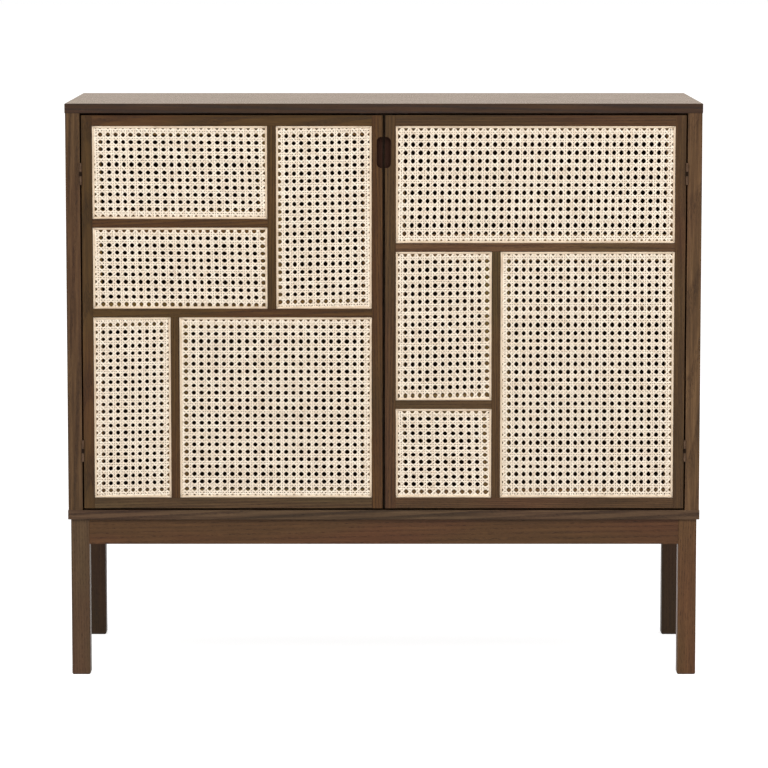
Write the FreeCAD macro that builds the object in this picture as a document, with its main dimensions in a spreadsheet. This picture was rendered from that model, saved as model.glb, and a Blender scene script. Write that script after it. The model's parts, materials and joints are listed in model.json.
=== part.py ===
"""Record cabinet: a cane-fronted case for vinyl records on a four-legged base.

Millimetres, +Z up. The origin is on the floor under the centre of the case, and the doors face -Y.
Left and right are as seen from the front: left is -X.

The case is two side panels between a top and a bottom panel, with a divider, two shelves and a back let
into rebates. The base is four legs, with aprons tenoned into them and a block screwed into each corner.
Each door is a frame of rebated members. A member has a narrow strip at its front and a wider lip behind
it. The strips butt where members meet, and the lips stop short of one another, so each joint is a lap.
Cane lies on the lips and is held by a reed spline, pressed into a groove that runs round each panel.
Butt hinges with three knuckles stand a little proud of the front, so the doors fold right back.
"""

import FreeCAD, Part
import math
import os
import re

import Sketcher
from FreeCAD import Placement, Rotation, Vector

# Driving dimensions, one spreadsheet cell each.
SIZES = {
    # The case
    "width": 1200,
    "depth": 450,
    "height": 1090,
    "top_thickness": 18,
    "bottom_thickness": 18,
    "side_thickness": 27,
    "side_inset": 1,  # the sides stand in from the ends of the top and bottom
    "front_setback": 1,  # the sides and doors stand back from the front of the top
    "board_ease": 0.7,  # chamfer along the edges of the boards
    "back_thickness": 6,
    "back_rebate": 9,  # how far the back is let into the panels round it
    "divider_thickness": 22,
    "divider_clearance": 2,  # between the divider and the closed doors
    "shelf_thickness": 18,
    "shelf_height": 686,  # underside of the shelves above the floor
    "shelf_clearance": 1,  # at the ends of a shelf
    "shelf_setback": 20,  # from the divider's front edge
    "pin_radius": 2.5,
    "pin_depth": 9,  # in the wood
    "pin_reach": 9,  # under the shelf
    "pin_inset": 50,  # from the shelf's front and back edges
    "dowel_radius": 4,
    "dowel_in_end": 20,  # in the end grain of a side or of the divider
    "dowel_in_face": 11,  # in the top or bottom panel
    "dowel_inset": 70,  # from the front and back of the case
    # The base
    "leg_height": 300,
    "leg_size": 35,
    "leg_round": 2,
    "foot_ease": 2.5,
    "base_inset": 5,  # the legs stand in from the edges of the bottom panel
    "apron_height": 48,
    "apron_thickness": 20,
    "apron_setback": 1.5,  # from the outer faces of the legs
    "tenon_length": 15,
    "tenon_thickness": 8,
    "tenon_shoulder": 8,  # above and below a tenon
    "block_reach": 40,  # a corner block's length along each apron
    "block_thickness": 28,
    "base_screw_radius": 2.2,
    "base_screw_head": 4.5,
    "base_screw_head_height": 2.5,
    "leg_screw_length": 42,
    "panel_screw_length": 40,
    "panel_screw_along": 17,  # from the leg, along the apron, to a block's upright screw
    "panel_screw_off": 11,  # from the apron to that screw
    # The doors
    "door_thickness": 20,
    "door_gap": 3,  # beside a door's hinges
    "head_gap": 4,
    "sill_gap": 3.6,
    "meeting_gap": 5,
    "stile_face": 20,
    "rail_face": 20.2,
    "muntin_face": 16,
    "lip_width": 17,
    "strip_depth": 3,  # from the front of the frame back to the lips
    "frame_ease": 0.4,
    "cane_thickness": 1.5,
    "groove_width": 4.5,
    "groove_depth": 3,
    "spline_sunk": 0.6,  # the spline's crown behind the front of the frame
    "spline_ease": 0.8,
    # Centre lines of the muntins, from the lower left corner of their own door
    "left_cross_height": 372.7,
    "left_short_height": 542.8,
    "left_upper_across": 357.8,
    "left_lower_across": 174.3,
    "right_cross_height": 497.1,
    "right_short_height": 198.4,
    "right_muntin_across": 209.7,
    # The finger grip, routed into both meeting stiles
    "grip_drop": 70,  # its centre below the doors' upper edges
    "grip_length": 59,
    "grip_width": 11,  # in each stile
    "grip_depth": 10,
    "grip_round": 9,
    # The hinges
    "hinge_from_end": 110.2,  # a hinge's middle from the door's nearer end
    "axis_proud": 1.5,  # the pin's centre line in front of the doors
    "leaf_thickness": 1,
    "leaf_width": 14,  # from the pin's centre line to the leaf's back edge
    "leaf_height": 41,
    "outer_knuckle": 16,
    "middle_knuckle": 8.6,
    "knuckle_clearance": 0.3,  # behind a knuckle, to the other leaf's plate
    "hinge_pin_radius": 1.2,
    "bore_clearance": 0.06,  # round the pin in a door's knuckle
    "hinge_screw_head": 2.4,
    "hinge_screw_radius": 1.2,
    "hinge_screw_length": 13,
    "hinge_screw_spacing": 24,
    "hinge_screw_back": 8.6,  # from the pin's centre line
    # The magnetic catches
    "catch_width": 34,
    "catch_depth": 13,
    "catch_height": 12,
    "magnet_width": 24,
    "magnet_height": 7,
    "magnet_depth": 9,
    "catch_gap": 0.5,  # between the magnet and its strike plate
    "strike_width": 20,
    "strike_height": 12,
    "strike_thickness": 1,
    "strike_inset": 1,  # below the door's upper edge
}

# Lengths that follow from the driving ones.
DERIVED = {
    "side_outer": "width / 2 - side_inset",
    "side_inner": "side_outer - side_thickness",
    "case_floor": "leg_height + bottom_thickness",
    "case_ceiling": "height - top_thickness",
    "case_front": "0 - depth / 2 + front_setback",
    "back_front": "depth / 2 - back_thickness",
    "divider_half": "divider_thickness / 2",
    "divider_front": "case_front + door_thickness + divider_clearance",
    "shelf_front": "divider_front + shelf_setback",
    "shelf_length": "side_inner - divider_half - 2 * shelf_clearance",
    "leg_outer_x": "width / 2 - base_inset",
    "leg_outer_y": "depth / 2 - base_inset",
    "door_width": "side_inner - door_gap - meeting_gap / 2",
    "door_height": "case_ceiling - case_floor - head_gap - sill_gap",
    "door_bottom": "case_floor + sill_gap",
    "door_back": "case_front + door_thickness",
    "door_inner_width": "door_width - 2 * stile_face",
    "muntin_half": "muntin_face / 2",
    "barrel_radius": "door_gap / 2 + leaf_thickness",
    "plate_start": "barrel_radius + knuckle_clearance",
    "plate_face": "barrel_radius - leaf_thickness",
    "axis_x": "side_inner - door_gap / 2",
    "axis_y": "case_front - axis_proud",
    "block_near": "apron_setback + apron_thickness",
    "block_far": "leg_size + block_reach",
}

NAME = re.compile(r"[a-z_][a-z0-9_]*")

doc = FreeCAD.newDocument("record_cabinet")
sheet = doc.addObject("Spreadsheet::Sheet", "Sizes")
for row, (alias, number) in enumerate(SIZES.items(), start=1):
    sheet.set(f"A{row}", alias)
    sheet.set(f"B{row}", str(number))
    sheet.setAlias(f"B{row}", alias)
doc.recompute()


def formula(text):
    """The expression for a formula written in the names of SIZES and DERIVED."""

    def spelt_out(match):
        name = match.group(0)
        if name in DERIVED:
            return f"({formula(DERIVED[name])})"
        return f"{sheet.Name}.{name}"

    return NAME.sub(spelt_out, str(text))


def bind(thing, **properties):
    """Binds properties of an object to formulas."""
    for name, text in properties.items():
        thing.setExpression(name, formula(text))


def place(thing, origin, rotation=Rotation()):
    """Puts an object at three bound coordinates."""
    thing.Placement = Placement(Vector(), rotation)
    for axis, text in zip("xyz", origin):
        thing.setExpression(f"Placement.Base.{axis}", formula(text))
    return thing


PEG_SIDES = 10
NEAR = 0.01  # what counts as touching when edges are picked

# --- Sketches and features ---------------------------------------------------------------------------


def new_body(label):
    body = doc.addObject("PartDesign::Body", label)
    body.Label = label
    return body


def new_sketch(body, plane, offset="0"):
    """An empty sketch on one of the body's origin planes, moved along that plane's normal."""
    sketch = body.newObject("Sketcher::SketchObject", body.Name + "_sketch")
    support = next(f for f in body.Origin.OriginFeatures if f.Role == plane)
    sketch.AttachmentSupport = [(support, "")]
    sketch.MapMode = "FlatFace"
    sketch.setExpression("AttachmentOffset.Base.z", formula(offset))
    return sketch


def pin_down(sketch, line, end, x, y):
    """Fixes a point of a sketch at two bound distances from its origin."""
    for kind, text in (("DistanceX", x), ("DistanceY", y)):
        index = sketch.addConstraint(Sketcher.Constraint(kind, -1, 1, line, end, 1.0))
        sketch.setExpression(f"Constraints[{index}]", formula(text))


def polygon(sketch, corners):
    """A closed outline through corners given as pairs of formulas."""
    first, count = sketch.GeometryCount, len(corners)
    start = [
        Vector(math.cos(2 * math.pi * k / count), math.sin(2 * math.pi * k / count), 0)
        for k in range(count)
    ]
    for k in range(count):
        sketch.addGeometry(Part.LineSegment(start[k], start[(k + 1) % count]), False)
    for k in range(count):
        following = first + (k + 1) % count
        sketch.addConstraint(Sketcher.Constraint("Coincident", first + k, 2, following, 1))
    for k, (x, y) in enumerate(corners):
        pin_down(sketch, first + k, 1, x, y)


def rectangle(sketch, x0, y0, x1, y1):
    polygon(sketch, [(x0, y0), (x1, y0), (x1, y1), (x0, y1)])


def circle(sketch, radius):
    """A circle about the sketch's origin."""
    index = sketch.addGeometry(Part.Circle(Vector(), Vector(0, 0, 1), 1.0), False)
    sketch.addConstraint(Sketcher.Constraint("Coincident", index, 3, -1, 1))
    index = sketch.addConstraint(Sketcher.Constraint("Radius", index, 1.0))
    sketch.setExpression(f"Constraints[{index}]", formula(radius))


def pad(body, sketch, length, midplane=False, backwards=False):
    feature = body.newObject("PartDesign::Pad", body.Name + "_pad")
    feature.Profile = sketch
    feature.Midplane = midplane
    feature.Reversed = backwards
    bind(feature, Length=length)
    return feature


def pocket(body, sketch, length, midplane=False):
    """A pocket, which has to take something away."""
    body.recompute(True)
    before = body.Shape.Volume
    feature = body.newObject("PartDesign::Pocket", body.Name + "_pocket")
    feature.Profile = sketch
    feature.Midplane = midplane
    bind(feature, Length=length)
    body.recompute(True)
    if not body.Shape.Volume < before:
        raise RuntimeError(f"the pocket in {body.Label} cuts nothing")
    return feature


def dress(kind, body, size, wanted):
    """A fillet or chamfer along the edges of the body's last feature that wanted() picks."""
    body.recompute(True)
    base = body.Tip
    names = [f"Edge{n}" for n, edge in enumerate(base.Shape.Edges, start=1) if wanted(edge)]
    feature = body.newObject(f"PartDesign::{kind}", f"{body.Name}_{kind.lower()}")
    feature.Base = (base, names)
    bind(feature, **{"Radius" if kind == "Fillet" else "Size": size})
    return feature


def runs_along(edge, axis):
    """Whether a straight edge is parallel to "x", "y" or "z"."""
    straight = edge.Curve.TypeId == "Part::GeomLine"
    return straight and abs(getattr(edge.Curve.Direction, axis)) > 1 - NEAR


def starts_at_front(edge):
    return edge.BoundBox.YMin < NEAR


def lies_in_front(edge):
    return edge.BoundBox.YMax < NEAR


# --- Kinds of piece ----------------------------------------------------------------------------------


def board(label, origin, length, depth, thickness, ease=None):
    """A flat board from its lower, left, front corner, with its edges chamfered if ease is given."""
    body = place(new_body(label), origin)
    outline = new_sketch(body, "XY_Plane")
    rectangle(outline, "0", "0", length, depth)
    pad(body, outline, thickness)
    if ease:
        dress("Chamfer", body, ease, lambda edge: True)
    return body


def cylinder(label, radius, length, origin):
    """A plain pin along Z, from the bottom up."""
    pin = doc.addObject("Part::Cylinder", label)
    bind(pin, Radius=radius, Height=length)
    return place(pin, origin)


def peg(label, radius, length, origin, rotation=Rotation()):
    """A peg along its own Z, drawn with PEG_SIDES flats to keep the many small pieces light."""
    prism = doc.addObject("Part::Prism", label)
    prism.Polygon = PEG_SIDES
    bind(prism, Circumradius=radius, Height=length)
    return place(prism, origin, rotation)


def peg_section(body, radius, height):
    sketch = new_sketch(body, "XY_Plane", height)
    turns = [2 * math.pi * k / PEG_SIDES for k in range(PEG_SIDES)]
    polygon(sketch, [(f"{radius} * {math.cos(t):.5f}", f"{radius} * {math.sin(t):.5f}") for t in turns])
    return sketch


def countersunk_screw(label, head, shank, length):
    """A screw that points down Z, with the top of its head at the origin. It is drawn as a peg is."""
    body = new_body(label)
    sink = f"{head} - {shank}"
    neck = peg_section(body, shank, f"0 - ({sink})")
    pad(body, neck, f"{length} - ({sink})", backwards=True)
    cone = body.newObject("PartDesign::AdditiveLoft", label + "_head")
    cone.Profile = peg_section(body, shank, f"0 - ({sink})")
    cone.Sections = [peg_section(body, head, "0")]
    cone.Ruled = True
    return body


def pan_head_screw(label, head, head_height, shank, length):
    """A screw that points down Z, with the underside of its head at the origin."""
    body = new_body(label)
    pad(body, peg_section(body, shank, "0"), length, backwards=True)
    pad(body, peg_section(body, head, "0"), head_height)
    return body


def copy_of(original, label, origin, rotation=Rotation()):
    """Another one of a piece that is drawn at the origin."""
    link = doc.addObject("App::Link", label)
    link.LinkedObject = original
    return place(link, origin, rotation)


def group(label, pieces):
    """Several alike pieces as one object."""
    compound = doc.addObject("Part::Compound", label)
    compound.Label = label
    compound.Links = pieces
    return compound


def fitted(label, blank, tools):
    """The blank with room cut in it for the pieces that are let into it."""
    tools = tools if isinstance(tools, list) else [tools]
    cut = doc.addObject("Part::Cut", label)
    cut.Label = label
    cut.Base = blank
    cut.Tool = tools[0] if len(tools) == 1 else group(label + "_cutters", tools)
    return cut


def blank_of(label):
    return label + "_blank"


def mirrored(sign, text):
    """A formula with the sign of its side of the cabinet, -1 for left and front."""
    return f"{sign} * ({text})"


# --- The base ----------------------------------------------------------------------------------------

SIDES = {"left": -1, "right": 1}
ENDS = {"front": -1, "back": 1}
# Quarter turns that bring a front left corner's shape to each corner
CORNER_TURNS = {("front", "left"): 0, ("front", "right"): 1, ("back", "right"): 2, ("back", "left"): 3}


def corner_of_base(end, side, height):
    """Where the outer upright edge of a leg is, at a height."""
    return (mirrored(SIDES[side], "leg_outer_x"), mirrored(ENDS[end], "leg_outer_y"), height)


def corner_turn(end, side):
    return Rotation(Vector(0, 0, 1), 90 * CORNER_TURNS[end, side])


def leg_pattern():
    """The front left leg, drawn from its outer upright edge, before it is mortised."""
    body = new_body("leg_pattern")
    section = new_sketch(body, "XY_Plane")
    rectangle(section, "0", "0", "leg_size", "leg_size")
    pad(body, section, "leg_height")
    dress("Chamfer", body, "foot_ease", lambda edge: edge.BoundBox.ZMax < NEAR)
    dress("Fillet", body, "leg_round", lambda edge: runs_along(edge, "z"))
    return body


def apron(label, run, length, origin):
    """A rail of the base along "x" or "y", with a tenon at each end. Its shoulders are at 0 and length."""
    body = place(new_body(label), origin)
    outline = new_sketch(body, "XY_Plane")
    tenon = new_sketch(body, "XY_Plane", "tenon_shoulder")
    cheek, far_cheek = (f"(apron_thickness {sign} tenon_thickness) / 2" for sign in "-+")
    if run == "x":
        rectangle(outline, "0", "0", length, "apron_thickness")
        rectangle(tenon, "0 - tenon_length", cheek, f"{length} + tenon_length", far_cheek)
    else:
        rectangle(outline, "0", "0", "apron_thickness", length)
        rectangle(tenon, cheek, "0 - tenon_length", far_cheek, f"{length} + tenon_length")
    pad(body, outline, "apron_height")
    pad(body, tenon, "apron_height - 2 * tenon_shoulder")
    return body


def block_pattern():
    """The front left corner block, between two aprons and notched round the leg."""
    body = new_body("block_pattern")
    outline = new_sketch(body, "XY_Plane")
    corners = [
        ("leg_size", "block_near"),
        ("block_far", "block_near"),
        ("block_near", "block_far"),
        ("block_near", "leg_size"),
        ("leg_size", "leg_size"),
    ]
    polygon(outline, corners)
    pad(body, outline, "block_thickness")
    return body


def turned_offset(end, side, along, across):
    """A point of a corner, given from the leg's outer edge as the front left corner has it."""
    quarter = CORNER_TURNS[end, side]
    x, y = {
        0: (along, across),
        1: (f"0 - ({across})", along),
        2: (f"0 - ({along})", f"0 - ({across})"),
        3: (across, f"0 - ({along})"),
    }[quarter]
    corner_x, corner_y, _ = corner_of_base(end, side, "0")
    return f"{corner_x} + {x}", f"{corner_y} + {y}"


def base_screws():
    """In each corner, a screw through the block into the leg and one up into the bottom panel."""
    sizes = ("base_screw_head", "base_screw_head_height", "base_screw_radius")
    leg_screw = pan_head_screw("leg_screw", *sizes, "leg_screw_length")
    panel_screw = pan_head_screw("panel_screw", *sizes, "panel_screw_length")
    from_the_middle = Rotation(Vector(0, 0, 1), Vector(1, 1, 0))
    upside_down = Rotation(Vector(1, 0, 0), 180)
    middle = "(block_near + block_far) / 2"
    screws = []
    for end, side in CORNER_TURNS:
        origin = (*turned_offset(end, side, middle, middle), "leg_height - block_thickness / 2")
        rotation = corner_turn(end, side).multiply(from_the_middle)
        screws.append(copy_of(leg_screw, f"leg_screw_{end}_{side}", origin, rotation))
        along, across = "leg_size + panel_screw_along", "block_near + panel_screw_off"
        origin = (*turned_offset(end, side, along, across), "leg_height - block_thickness")
        screws.append(copy_of(panel_screw, f"panel_screw_{end}_{side}", origin, upside_down))
    return group("base_screws", screws)


def build_aprons():
    low, aprons = "leg_height - apron_height", []
    for end, sign in ENDS.items():
        edge = "leg_outer_y - apron_setback"
        near = mirrored(sign, edge) if sign < 0 else f"{edge} - apron_thickness"
        origin = ("0 - leg_outer_x + leg_size", near, low)
        aprons.append(apron(f"apron_{end}", "x", "2 * (leg_outer_x - leg_size)", origin))
    for side, sign in SIDES.items():
        edge = "leg_outer_x - apron_setback"
        near = mirrored(sign, edge) if sign < 0 else f"{edge} - apron_thickness"
        origin = (near, "0 - leg_outer_y + leg_size", low)
        aprons.append(apron(f"apron_{side}", "y", "2 * (leg_outer_y - leg_size)", origin))
    return aprons


def build_base(screws):
    aprons, leg, block = build_aprons(), leg_pattern(), block_pattern()
    legs, blocks = [], []
    for end, side in CORNER_TURNS:
        label, turn = f"leg_{end}_{side}", corner_turn(end, side)
        blank = copy_of(leg, blank_of(label), corner_of_base(end, side, "0"), turn)
        legs.append(fitted(label, blank, [*aprons, screws]))
        origin = corner_of_base(end, side, "leg_height - block_thickness")
        blocks.append(copy_of(block, f"corner_block_{end}_{side}", origin, turn))
    corner_blocks = fitted("corner_blocks", group(blank_of("corner_blocks"), blocks), screws)
    return [*legs, *aprons, corner_blocks, screws]


# --- The case ----------------------------------------------------------------------------------------


def case_dowels():
    """Two dowels in each joint between an upright panel and the top or bottom panel."""
    dowels = []
    uprights = {
        "left": "0 - side_inner - side_thickness / 2",
        "divider": "0",
        "right": "side_inner + side_thickness / 2",
    }
    for name, x in uprights.items():
        for end, y in (("front", "0 - depth / 2 + dowel_inset"), ("back", "depth / 2 - dowel_inset")):
            low, high = "case_floor - dowel_in_face", "case_ceiling - dowel_in_end"
            for level, z in (("low", low), ("high", high)):
                label = f"dowel_{name}_{end}_{level}"
                dowels.append(peg(label, "dowel_radius", "dowel_in_face + dowel_in_end", (x, y, z)))
    return group("case_dowels", dowels)


def shelf_pins():
    """Four pins under each shelf, two in the side and two in the divider."""
    towards_x = Rotation(Vector(0, 1, 0), 90)
    pins = []
    for side, sign in SIDES.items():
        for end, y in (
            ("front", "shelf_front + pin_inset"),
            ("back", "back_front - shelf_clearance - pin_inset"),
        ):
            for wall, x, inward in (("side", "side_inner", -sign), ("divider", "divider_half", sign)):
                buried = "pin_depth" if inward > 0 else "pin_reach"
                origin = (f"{mirrored(sign, x)} - {buried}", y, "shelf_height - pin_radius")
                label = f"shelf_pin_{side}_{end}_{wall}"
                pins.append(peg(label, "pin_radius", "pin_depth + pin_reach", origin, towards_x))
    return group("shelf_pins", pins)


def catch(side):
    """A magnet in its housing under the top panel, beside the divider."""
    sign = SIDES[side]
    housing_x = "0 - divider_half - catch_width" if sign < 0 else "divider_half"
    front = "door_back + strike_thickness + catch_gap"
    origin = (housing_x, front, "case_ceiling - catch_height")
    housing = board(f"catch_housing_{side}_blank", origin, "catch_width", "catch_depth", "catch_height")
    inset = "(catch_width - magnet_width) / 2"
    lift = "(catch_height - magnet_height) / 2"
    origin = (f"{housing_x} + {inset}", front, f"case_ceiling - catch_height + {lift}")
    magnet = board(f"catch_magnet_{side}", origin, "magnet_width", "magnet_depth", "magnet_height")
    return fitted(f"catch_housing_{side}", housing, magnet), magnet


def build_case(mortises, hinge_screws, screws_of_base):
    dowels, pins = case_dowels(), shelf_pins()
    back_origin = ("0 - side_inner - back_rebate", "back_front", "case_floor - back_rebate")
    back = board(
        "back_panel",
        back_origin,
        "2 * (side_inner + back_rebate)",
        "back_thickness",
        "case_ceiling - case_floor + 2 * back_rebate",
    )
    boards = {}
    for label, z in (("top_panel", "case_ceiling"), ("bottom_panel", "leg_height")):
        size = ("width", "depth", label.replace("panel", "thickness"))
        boards[label] = board(blank_of(label), ("0 - width / 2", "0 - depth / 2", z), *size, "board_ease")
    pieces = [
        fitted("top_panel", boards["top_panel"], [back, dowels]),
        fitted("bottom_panel", boards["bottom_panel"], [back, dowels, screws_of_base]),
        back,
        dowels,
        pins,
    ]
    opening = "case_ceiling - case_floor"
    shelf_start = "divider_half + shelf_clearance"
    shelf_depth = "back_front - shelf_clearance - shelf_front"
    for side, sign in SIDES.items():
        label = f"side_panel_{side}"
        near = "0 - side_outer" if sign < 0 else "side_inner"
        size = ("side_thickness", "depth / 2 - case_front", opening)
        blank = board(blank_of(label), (near, "case_front", "case_floor"), *size)
        tools = [back, dowels, pins, mortises[side], hinge_screws[side]]
        pieces.append(fitted(label, blank, tools))
        near = f"0 - ({shelf_start}) - shelf_length" if sign < 0 else shelf_start
        size = ("shelf_length", shelf_depth, "shelf_thickness", "board_ease")
        pieces.append(board(f"shelf_{side}", (near, "shelf_front", "shelf_height"), *size))
    origin = ("0 - divider_half", "divider_front", "case_floor")
    size = ("divider_thickness", "back_front - divider_front", opening)
    divider = board(blank_of("centre_divider"), origin, *size)
    pieces.append(fitted("centre_divider", divider, [dowels, pins]))
    housings, magnets = zip(*(catch(side) for side in SIDES))
    pieces.append(group("catch_housings", list(housings)))
    pieces.append(group("catch_magnets", list(magnets)))
    return pieces


# --- Hinges ------------------------------------------------------------------------------------------

# A hinge is drawn for the left side, about its pin, with the case at -X. The right one is it turned over.
TURNED_OVER = {"left": Rotation(), "right": Rotation(Vector(0, 1, 0), 180)}
HINGE_LEVELS = {
    "lower": "door_bottom + hinge_from_end",
    "upper": "door_bottom + door_height - hinge_from_end",
}


def leaf(label, of_case):
    """A leaf with its knuckles: the two outer ones on the case's leaf, the middle one on the door's."""
    body = new_body(label)
    sign = -1 if of_case else 1
    near, far = mirrored(sign, "plate_face"), mirrored(sign, "barrel_radius")
    plate = new_sketch(body, "XY_Plane")
    rectangle(plate, near, "plate_start", far, "leaf_width")
    pad(body, plate, "leaf_height", midplane=True)
    base = "leaf_height / 2 - outer_knuckle" if of_case else "0"
    length = "outer_knuckle" if of_case else "middle_knuckle"
    tab = new_sketch(body, "XY_Plane", base)
    rectangle(tab, near, "0", far, "plate_start")
    knuckle = new_sketch(body, "XY_Plane", base)
    circle(knuckle, "barrel_radius")
    shapes = [pad(body, sketch, length, midplane=not of_case) for sketch in (tab, knuckle)]
    if of_case:
        body.recompute(True)
        pair = body.newObject("PartDesign::Mirrored", label + "_pair")
        pair.Originals = shapes
        middle = next(f for f in body.Origin.OriginFeatures if f.Role == "XY_Plane")
        pair.MirrorPlane = (middle, [""])
        body.Tip = pair
    bore = new_sketch(body, "XY_Plane")
    circle(bore, "hinge_pin_radius" if of_case else "hinge_pin_radius + bore_clearance")
    pocket(body, bore, "leaf_height", midplane=True)
    return body


def hinge_pattern():
    """The pieces that every hinge has one or more of, drawn about the pin."""
    screw_sizes = ("hinge_screw_head", "hinge_screw_radius", "hinge_screw_length")
    return {
        "case_leaf": leaf("case_leaf", True),
        "door_leaf": leaf("door_leaf", False),
        "screw": countersunk_screw("hinge_screw", *screw_sizes),
    }


def hinge_parts(side, pattern):
    """Both hinges of a door: leaves, pins and screws, and the boxes that mortise the wood for them."""
    sign, rotation = SIDES[side], TURNED_OVER[side]
    kinds = ("case_leaf", "door_leaf", "pin", "case_screw", "door_screw", "mortise")
    parts = {kind: [] for kind in kinds}
    x, half = mirrored(sign, "axis_x"), "leaf_height / 2"
    for level, z in HINGE_LEVELS.items():
        name = f"{side}_{level}"
        for kind in ("case_leaf", "door_leaf"):
            parts[kind].append(copy_of(pattern[kind], f"{kind}_{name}", (x, "axis_y", z), rotation))
        origin = (x, "axis_y", f"{z} - {half}")
        parts["pin"].append(cylinder(f"hinge_pin_{name}", "hinge_pin_radius", "leaf_height", origin))
        mortise = doc.addObject("Part::Box", f"mortise_{name}")
        bind(mortise, Length="2 * barrel_radius", Width="axis_proud + leaf_width", Height="leaf_height")
        place(mortise, (f"{x} - barrel_radius", "axis_y - axis_proud", f"{z} - {half}"))
        parts["mortise"].append(mortise)
        for where, step in (("low", -1), ("high", 1)):
            for kind, outward in (("case", sign), ("door", -sign)):
                face = f"{x} + {mirrored(outward, 'plate_face')}"
                origin = (face, "axis_y + hinge_screw_back", f"{z} + {step} * hinge_screw_spacing / 2")
                label = f"{kind}_hinge_screw_{name}_{where}"
                facing_in = Rotation(Vector(0, 1, 0), -90 * outward)
                parts[f"{kind}_screw"].append(copy_of(pattern["screw"], label, origin, facing_in))
    return parts


# --- Doors -------------------------------------------------------------------------------------------

# Where members start and stop, from the lower left corner of their door
ACROSS = ("stile_face", "door_width - stile_face")
UP = ("rail_face", "door_height - rail_face")


def beside(line, side):
    """The edge of the muntin centred on a line, on its lower or left side (-1) or on the other (1)."""
    return f"{line} + {side} * muntin_half"


# Each member: the way it runs, where it starts (across, up), its length, its face and its two lips,
# the left or lower one first. Stiles run through, and the other members lap onto the lips they meet.
def frame_members(hinge_side):
    """The stiles and rails that both doors have, with the door's own cross rail left out."""
    inner = ("lip_width", "0") if hinge_side == "right" else ("0", "lip_width")
    outer = ("0", "lip_width") if hinge_side == "right" else ("lip_width", "0")
    far = "door_width - stile_face"
    hinge_x, meeting_x = ("0", far) if hinge_side == "left" else (far, "0")
    return {
        "hinge_stile": ("z", (hinge_x, "0"), "door_height", "stile_face", inner),
        "meeting_stile": ("z", (meeting_x, "0"), "door_height", "stile_face", outer),
        "bottom_rail": ("x", ("stile_face", "0"), "door_inner_width", "rail_face", ("0", "lip_width")),
        "top_rail": ("x", ("stile_face", UP[1]), "door_inner_width", "rail_face", ("lip_width", "0")),
    }


BOTH_LIPS = ("lip_width", "lip_width")


def muntin(run, start, stop, line):
    """A bar with a lip on both sides, centred on a line, from start to stop."""
    edge = beside(line, -1)
    origin = (start, edge) if run == "x" else (edge, start)
    return (run, origin, f"{stop} - ({start})", "muntin_face", BOTH_LIPS)


MEMBERS = {
    "left": {
        **frame_members("left"),
        "cross_rail": muntin("x", *ACROSS, "left_cross_height"),
        "short_rail": muntin("x", ACROSS[0], beside("left_upper_across", -1), "left_short_height"),
        "upper_muntin": muntin("z", beside("left_cross_height", 1), UP[1], "left_upper_across"),
        "lower_muntin": muntin("z", UP[0], beside("left_cross_height", -1), "left_lower_across"),
    },
    "right": {
        **frame_members("right"),
        "cross_rail": muntin("x", *ACROSS, "right_cross_height"),
        "short_rail": muntin("x", ACROSS[0], beside("right_muntin_across", -1), "right_short_height"),
        "muntin": muntin("z", UP[0], beside("right_cross_height", -1), "right_muntin_across"),
    },
}

# The cane panels, as (left, right), (bottom, top) between the strips round them
PANELS = {
    "left": {
        "top_outer": (
            (ACROSS[0], beside("left_upper_across", -1)),
            (beside("left_short_height", 1), UP[1]),
        ),
        "middle_outer": (
            (ACROSS[0], beside("left_upper_across", -1)),
            (beside("left_cross_height", 1), beside("left_short_height", -1)),
        ),
        "top_inner": (
            (beside("left_upper_across", 1), ACROSS[1]),
            (beside("left_cross_height", 1), UP[1]),
        ),
        "bottom_outer": (
            (ACROSS[0], beside("left_lower_across", -1)),
            (UP[0], beside("left_cross_height", -1)),
        ),
        "bottom_inner": (
            (beside("left_lower_across", 1), ACROSS[1]),
            (UP[0], beside("left_cross_height", -1)),
        ),
    },
    "right": {
        "top": (ACROSS, (beside("right_cross_height", 1), UP[1])),
        "middle_inner": (
            (ACROSS[0], beside("right_muntin_across", -1)),
            (beside("right_short_height", 1), beside("right_cross_height", -1)),
        ),
        "bottom_inner": (
            (ACROSS[0], beside("right_muntin_across", -1)),
            (UP[0], beside("right_short_height", -1)),
        ),
        "bottom_outer": (
            (beside("right_muntin_across", 1), ACROSS[1]),
            (UP[0], beside("right_cross_height", -1)),
        ),
    },
}
DOOR_LEFT_EDGE = {"left": "0 - side_inner + door_gap", "right": "meeting_gap / 2"}


def door_point(side, across, back, up):
    """A point of a closed door, from its lower left front corner."""
    return (f"{DOOR_LEFT_EDGE[side]} + {across}", f"case_front + {back}", f"door_bottom + {up}")


def frame_member(label, side, run, start, length, face, lips):
    """A stile, rail or muntin: a strip in front, and a lip behind that stops a lip's width short."""
    body = place(new_body(label), door_point(side, start[0], "0", start[1]))
    plane = "XY_Plane" if run == "z" else "YZ_Plane"
    lap = "0" if "stile" in label else "lip_width"
    strip = ("0", length, "0", face, "0", "strip_depth")
    lip_edges = (f"0 - {lips[0]}", f"{face} + {lips[1]}")
    lip = (lap, f"{length} - 2 * {lap}", *lip_edges, "strip_depth", "door_thickness")
    for offset, reach, near, far, front, back in (strip, lip):
        section = new_sketch(body, plane, offset)
        if run == "z":
            rectangle(section, near, front, far, back)
        else:
            rectangle(section, front, near, back, far)
        pad(body, section, reach)
    dress("Chamfer", body, "frame_ease", lambda edge: runs_along(edge, run) and lies_in_front(edge))
    return body


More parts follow.
